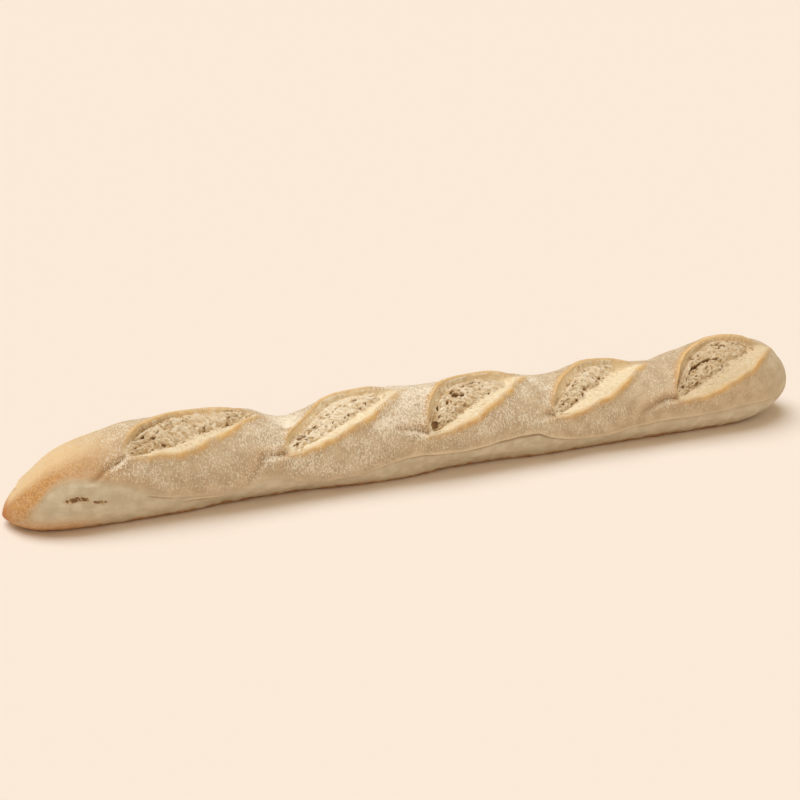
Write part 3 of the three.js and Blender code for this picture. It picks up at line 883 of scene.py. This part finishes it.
class Wiring:
    """Adds shader nodes to a tree and joins them up."""

    def __init__(self, tree):
        self.tree = tree

    def add(self, kind, **settings):
        node = self.tree.nodes.new(kind)
        for key, value in settings.items():
            setattr(node, key, value)
        return node

    def feed(self, socket, value):
        if isinstance(value, bpy.types.NodeSocket):
            self.tree.links.new(value, socket)
        else:
            socket.default_value = value

    def mask(self, name, strength=1.0):
        share = self.add("ShaderNodeAttribute", attribute_name=name).outputs["Fac"]
        return share if strength == 1.0 else self.math("MULTIPLY", share, strength)

    def noise(self, size_mm, detail=2.0, roughness=0.5, stretch=(1, 1, 1), seed=0.0):
        """Noise with lumps of about this size; stretch shrinks the pattern along each axis."""
        coordinates = self.add("ShaderNodeTexCoord")
        mapping = self.add("ShaderNodeMapping")
        self.feed(mapping.inputs["Vector"], coordinates.outputs["Object"])
        mapping.inputs["Scale"].default_value = stretch
        mapping.inputs["Location"].default_value = (seed, seed * 0.7, seed * 1.3)
        node = self.add("ShaderNodeTexNoise")
        self.feed(node.inputs["Vector"], mapping.outputs["Vector"])
        if isinstance(size_mm, bpy.types.NodeSocket):
            self.feed(node.inputs["Scale"], self.math("DIVIDE", 1 / MM, size_mm))
        else:
            self.feed(node.inputs["Scale"], 1 / (size_mm * MM))
        self.feed(node.inputs["Detail"], detail)
        self.feed(node.inputs["Roughness"], roughness)
        return node.outputs["Fac"]

    def drawn_noise(self, along, across, detail):
        """Noise drawn out across a slash, with this many lumps along it and across it."""
        place = self.add("ShaderNodeCombineXYZ")
        self.feed(place.inputs["X"], self.math("MULTIPLY", self.mask("way"), along))
        self.feed(place.inputs["Y"], self.math("MULTIPLY", self.mask("cross"), across))
        node = self.add("ShaderNodeTexNoise")
        self.feed(node.inputs["Vector"], place.outputs["Vector"])
        self.feed(node.inputs["Scale"], 1.0)
        self.feed(node.inputs["Detail"], detail)
        return node.outputs["Fac"]

    def math(self, operation, first, second=0.0):
        node = self.add("ShaderNodeMath", operation=operation)
        self.feed(node.inputs[0], first)
        self.feed(node.inputs[1], second)
        return node.outputs[0]

    def spread(self, value, low, high, to_low=0.0, to_high=1.0):
        node = self.add("ShaderNodeMapRange", interpolation_type="SMOOTHSTEP")
        self.feed(node.inputs["Value"], value)
        self.feed(node.inputs["From Min"], low)
        self.feed(node.inputs["From Max"], high)
        self.feed(node.inputs["To Min"], to_low)
        self.feed(node.inputs["To Max"], to_high)
        return node.outputs["Result"]

    def blend(self, share, first, second):
        node = self.add("ShaderNodeMix", data_type="RGBA")
        self.feed(node.inputs["Factor"], share)
        self.feed(node.inputs[6], first)
        self.feed(node.inputs[7], second)
        return node.outputs[2]

    def bump(self, height, strength, distance_mm):
        node = self.add("ShaderNodeBump")
        self.feed(node.inputs["Height"], height)
        self.feed(node.inputs["Strength"], strength)
        self.feed(node.inputs["Distance"], distance_mm * MM)
        return node.outputs["Normal"]

    def effect(self, group, **values):
        """Places a shared effect with its own values, and gives its one output."""
        node = self.add("ShaderNodeGroup", node_tree=group)
        for name, value in values.items():
            self.feed(node.inputs[name.replace("_", " ")], value)
        return node.outputs[0]

    def tones(self, name, patch_mm):
        first, second = TONES[name]
        return self.effect(MOTTLE, first=srgb(*first), second=srgb(*second), patch_mm=patch_mm)


def new_effect(name, inputs, output):
    """A node group with these inputs, (name, kind, value), and one output, (name, kind)."""
    group = bpy.data.node_groups.new(name, "ShaderNodeTree")
    for socket_name, kind, value in inputs:
        socket = group.interface.new_socket(socket_name, in_out="INPUT", socket_type=kind)
        socket.default_value = value
    group.interface.new_socket(output[0], in_out="OUTPUT", socket_type=output[1])
    wire = Wiring(group)
    return group, wire, wire.add("NodeGroupInput").outputs, wire.add("NodeGroupOutput").inputs[0]


FLOAT, COLOUR = "NodeSocketFloat", "NodeSocketColor"


def make_flour_dust():
    """Where flour lies: fine specks, drawn out round the loaf, denser where the cover is higher."""
    inputs = [("cover", FLOAT, 0.4), ("grain mm", FLOAT, 0.8)]
    group, wire, given, result = new_effect("flour dust", inputs, ("dust", FLOAT))
    specks = wire.noise(given["grain mm"], 2.0, 0.6, seed=0.3)
    hairs = wire.noise(given["grain mm"], 2.0, 0.6, stretch=(0.9, 0.36, 0.36), seed=0.9)
    grains = wire.math("MULTIPLY", wire.math("ADD", specks, hairs), 0.5)
    cut = wire.math("SUBTRACT", 0.61, wire.math("MULTIPLY", given["cover"], 0.23))
    above = wire.math("SUBTRACT", grains, cut)
    share = wire.spread(above, -0.028, 0.036)
    wire.feed(result, wire.math("MULTIPLY", share, wire.spread(given["cover"], 0.0, 0.25)))
    return group


def make_mottle():
    """Two tones that drift into each other in soft patches."""
    white = (1, 1, 1, 1)
    inputs = [("first", COLOUR, white), ("second", COLOUR, white), ("patch mm", FLOAT, 6.0)]
    group, wire, given, result = new_effect("baked mottle", inputs, ("colour", COLOUR))
    patches = wire.noise(given["patch mm"], 3.0, 0.55, seed=1.7)
    wire.feed(result, wire.blend(wire.spread(patches, 0.36, 0.66), given["first"], given["second"]))
    return group


def make_grain():
    """The fine roughness of dough, as a height for a bump."""
    inputs = [("grain mm", FLOAT, 1.0)]
    group, wire, given, result = new_effect("dough grain", inputs, ("height", FLOAT))
    wire.feed(result, wire.noise(given["grain mm"], 3.0, 0.65, seed=2.9))
    return group


FLOUR_DUST, MOTTLE, GRAIN = make_flour_dust(), make_mottle(), make_grain()

# pairs of sRGB tones that drift into each other
TONES = {
    "crust": ((199, 176, 146), (217, 196, 167)),
    "gold": ((190, 136, 80), (222, 171, 110)),
    "pale": ((207, 192, 167), (221, 208, 185)),
    # the sole's browns, also painted up the foot's edge as contact shade
    "sole": ((158, 104, 64), (196, 146, 98)),
    "skin": ((245, 227, 192), (255, 243, 217)),  # on the walls of a slash
    # a lighter copy of the skin's tones, painted on the wall at a slash's far side against its
    # shade
    "far wall painted light": ((249, 229, 194), (255, 243, 216)),
    "baked": ((194, 166, 128), (210, 186, 150)),
    "ridge": ((224, 178, 112), (242, 204, 140)),
    "crumb": ((241, 226, 200), (253, 244, 226)),
    # painted shade tones for the crumb's low places and round its holes
    "hollow_shade": ((200, 166, 118), (218, 189, 145)),
}
# the marks laid over the crust in turn: mask, strength and colour; they paint highlights on the
# crests and along lit edges, shade in the creases, and the baked nub
CRUST_MARKS = [
    ("painted_highlight", 0.7, srgb(252, 226, 182)),
    ("painted_edge_highlight", 0.7, srgb(250, 232, 200)),
    ("crease_shade", 0.85, srgb(140, 98, 60)),
    ("nub", 0.75, srgb(196, 124, 72)),
]
SKIN_STREAK = srgb(216, 182, 132)
CRUMB_STREAK = srgb(208, 180, 142)
# painted shade in the crumb's holes and in the tears' splits
PIT_SHADE = srgb(140, 104, 67)
FLOUR = srgb(255, 247, 232)


def new_material(name):
    material = bpy.data.materials.new(name)
    material.use_nodes = True
    shader = material.node_tree.nodes["Principled BSDF"]
    return material, Wiring(material.node_tree), shader


def streak_skin(wire, streaks, colour):
    """Lays the streaks of torn skin over a colour."""
    return wire.blend(wire.spread(streaks, 0.52, 0.72, 0, 0.4), colour, SKIN_STREAK)


def crust_finish():
    material, wire, shader = new_material("floury crust")
    mottle = wire.noise(5, 4, 0.6, seed=2)
    colour = wire.tones("crust", 9.0)
    gold_share = wire.math("MULTIPLY", wire.mask("gold"), wire.spread(mottle, 0.25, 0.7, 0.6, 1.0))
    colour = wire.blend(gold_share, colour, wire.tones("gold", 1.3))
    colour = wire.blend(wire.mask("pale"), colour, wire.tones("pale", 7.0))
    # the sole: baked colour, and painted contact shade along the foot's edge
    colour = wire.blend(wire.mask("sole", 0.9), colour, wire.tones("sole", 4.0))

    streaks = wire.drawn_noise(70.0, 4.0, 3.0)
    # the skin's wall, painted lighter on its far side against the shade there
    wall = wire.blend(wire.mask("far_wall_painted_light"), wire.tones("skin", 2.2), wire.tones("far wall painted light", 3.0))
    wall = streak_skin(wire, streaks, wall)
    wall = wire.blend(wire.mask("baked"), wall, wire.tones("baked", 2.4))
    colour = wire.blend(wire.mask("wall"), colour, wall)
    colour = wire.blend(wire.mask("rim", 0.85), colour, wire.tones("ridge", 5.0))
    for mask, strength, mark in CRUST_MARKS:
        colour = wire.blend(wire.mask(mask, strength), colour, mark)

    dust = wire.effect(FLOUR_DUST, cover=wire.mask("flour"), grain_mm=0.76)
    thickness = wire.spread(wire.mask("flour"), 0.25, 0.9, 0.6, 0.88)
    colour = wire.blend(wire.math("MULTIPLY", dust, thickness), colour, FLOUR)

    wire.feed(shader.inputs["Base Color"], colour)
    wire.feed(shader.inputs["Roughness"], wire.spread(wire.mask("gold"), 0.2, 0.9, 0.88, 0.66))
    shader.inputs["Specular IOR Level"].default_value = 0.25
    relief = wire.math("ADD", wire.effect(GRAIN, grain_mm=1.4), wire.math("MULTIPLY", dust, 0.35))
    relief = wire.math("ADD", relief, wire.math("MULTIPLY", wire.mask("wall"), streaks))
    wire.feed(shader.inputs["Normal"], wire.bump(relief, 0.7, 0.5))
    return material


def crumb_finish():
    material, wire, shader = new_material("torn crumb")
    streaks = wire.drawn_noise(95.0, 5.0, 3.0)
    # painted shade in the crumb's low places and round its holes
    hollow_shade = wire.spread(wire.mask("hollow_shade"), 0.3, 0.9, 0, 0.8)
    colour = wire.blend(hollow_shade, wire.tones("crumb", 3.0), wire.tones("hollow_shade", 1.6))
    colour = wire.blend(wire.spread(streaks, 0.45, 0.7, 0, 0.4), colour, CRUMB_STREAK)
    skin = streak_skin(wire, streaks, wire.tones("skin", 2.2))
    colour = wire.blend(wire.mask("skin"), colour, skin)
    colour = wire.blend(wire.mask("baked"), colour, wire.tones("baked", 2.4))
    # painted shade in the holes
    colour = wire.blend(wire.spread(wire.mask("pit_shade"), 0.1, 0.95, 0, 0.95), colour, PIT_SHADE)

    wire.feed(shader.inputs["Base Color"], colour)
    wire.feed(shader.inputs["Roughness"], wire.spread(wire.mask("pit_shade"), 0.0, 0.6, 0.9, 0.7))
    shader.inputs["Specular IOR Level"].default_value = 0.2
    relief = wire.math("ADD", wire.effect(GRAIN, grain_mm=0.9), wire.math("MULTIPLY", streaks, 0.6))
    wire.feed(shader.inputs["Normal"], wire.bump(relief, 0.75, 0.4))
    return material


# ---------------- the pieces

crust = model_crust()
crust.data.materials.append(crust_finish())
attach(crust, "root")
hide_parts("loaf")

crumbs = []
for number in range(len(SLASHES)):
    shape = shape_slash_crumb(number)
    crumbs.append(model_patch(f"crumb_{number + 1}", CRUMB_ALONG, CRUMB_ACROSS, shape))
for number in range(len(TEARS)):
    crumbs.append(model_patch(f"burst_{number + 1}", BURST_ALONG, BURST_ACROSS, shape_tear(number)))

crumb_material = crumb_finish()
for crumb in crumbs:
    crumb.data.materials.append(crumb_material)
    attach(crumb, "root")

# ---------------- floor, light and camera

FLOOR_SIZE = 24.0
FLOOR_COLOUR = srgb(246, 238, 234)


def lay_floor():
    bpy.ops.object.select_all(action="DESELECT")
    bpy.ops.mesh.primitive_plane_add(size=FLOOR_SIZE)
    floor = take_new("floor")
    material, _, shader = new_material("pale floor")
    shader.inputs["Base Color"].default_value = FLOOR_COLOUR
    shader.inputs["Roughness"].default_value = 1
    shader.inputs["Specular IOR Level"].default_value = 0
    floor.data.materials.append(material)


def look_back(thing, direction):
    """Turns a light or a camera so that it looks back along this direction."""
    thing.rotation_euler = Vector(direction).to_track_quat("Z", "Y").to_euler()


# each light's direction from the loaf, brightness, softness in degrees and colour
LIGHTS = {
    "overhead window": ((-0.24, 0.2, 1.0), 2.1, 48, (0.95, 0.98, 1.0)),
    "front fill": ((0.1, -1.0, 0.8), 0.4, 60, (1.0, 0.9, 0.76)),
}
ROOM_COLOUR = (1.0, 0.74, 0.38, 1)
ROOM_BRIGHTNESS = 0.36


def set_light():
    for name, (direction, brightness, softness, colour) in LIGHTS.items():
        data = bpy.data.lights.new(name, "SUN")
        data.energy = brightness
        data.angle = math.radians(softness)
        data.color = colour
        light = bpy.data.objects.new(name, data)
        bpy.context.scene.collection.objects.link(light)
        look_back(light, direction)

    world = bpy.data.worlds.new("room")
    bpy.context.scene.world = world
    world.use_nodes = True
    background = world.node_tree.nodes["Background"]
    background.inputs["Color"].default_value = ROOM_COLOUR
    background.inputs["Strength"].default_value = ROOM_BRIGHTNESS


# the camera, as fitted to the outline of the loaf in the photograph
CAMERA_AZIMUTH = -18.0
CAMERA_ELEVATION = 25.0
CAMERA_DISTANCE = 692.0
CAMERA_TARGET = (-22.3, 0.0, 46.0)
CAMERA_FOCAL_PX = 1056.5
PICTURE_PX = 800
SENSOR_MM = 36.0


def set_camera():
    azimuth, elevation = math.radians(CAMERA_AZIMUTH), math.radians(CAMERA_ELEVATION)
    back = Vector((
        math.sin(azimuth) * math.cos(elevation),
        -math.cos(azimuth) * math.cos(elevation),
        math.sin(elevation),
    ))
    data = bpy.data.cameras.new("camera")
    data.sensor_width = SENSOR_MM
    data.lens = CAMERA_FOCAL_PX / PICTURE_PX * SENSOR_MM
    camera = bpy.data.objects.new("camera", data)
    bpy.context.scene.collection.objects.link(camera)
    camera.location = (Vector(CAMERA_TARGET) + back * CAMERA_DISTANCE) * MM
    look_back(camera, back)
    bpy.context.scene.camera = camera


lay_floor()
set_light()
set_camera()
bpy.context.scene.view_settings.view_transform = "Standard"
